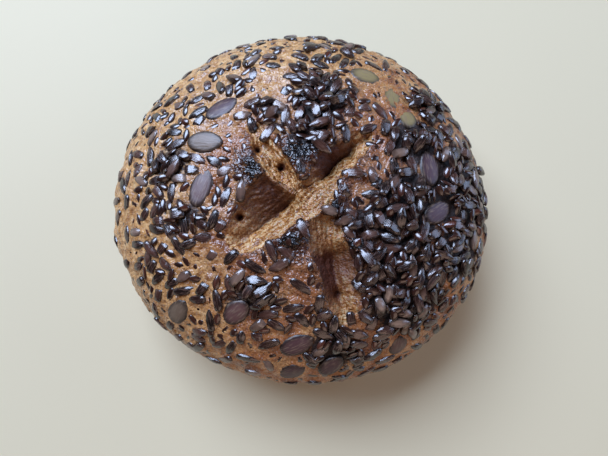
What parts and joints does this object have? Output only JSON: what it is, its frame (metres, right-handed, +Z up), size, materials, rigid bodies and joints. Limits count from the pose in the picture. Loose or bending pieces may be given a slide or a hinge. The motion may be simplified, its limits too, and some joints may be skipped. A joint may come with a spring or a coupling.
{
  "type": "seeded sourdough loaf",
  "caption": "Round seeded sourdough loaf with a flat base, a domed crust, a torn cross score on top and a thick topping of seeds baked into the crust.",
  "frame": {"origin": "middle of the flat base", "axes": "+Z up through the crown, +X along the loaf's longer way, -Y to the side the loaf is seen from"},
  "size_m": [0.1748, 0.1646, 0.0772],
  "materials": {
    "crust": "satin",
    "pumpkin_seed": "satin",
    "sunflower_kernel": "satin",
    "flax_seed": "gloss"
  },
  "bodies": {
    "root": {"loaf": "crust"}
  },
  "joints": []
}
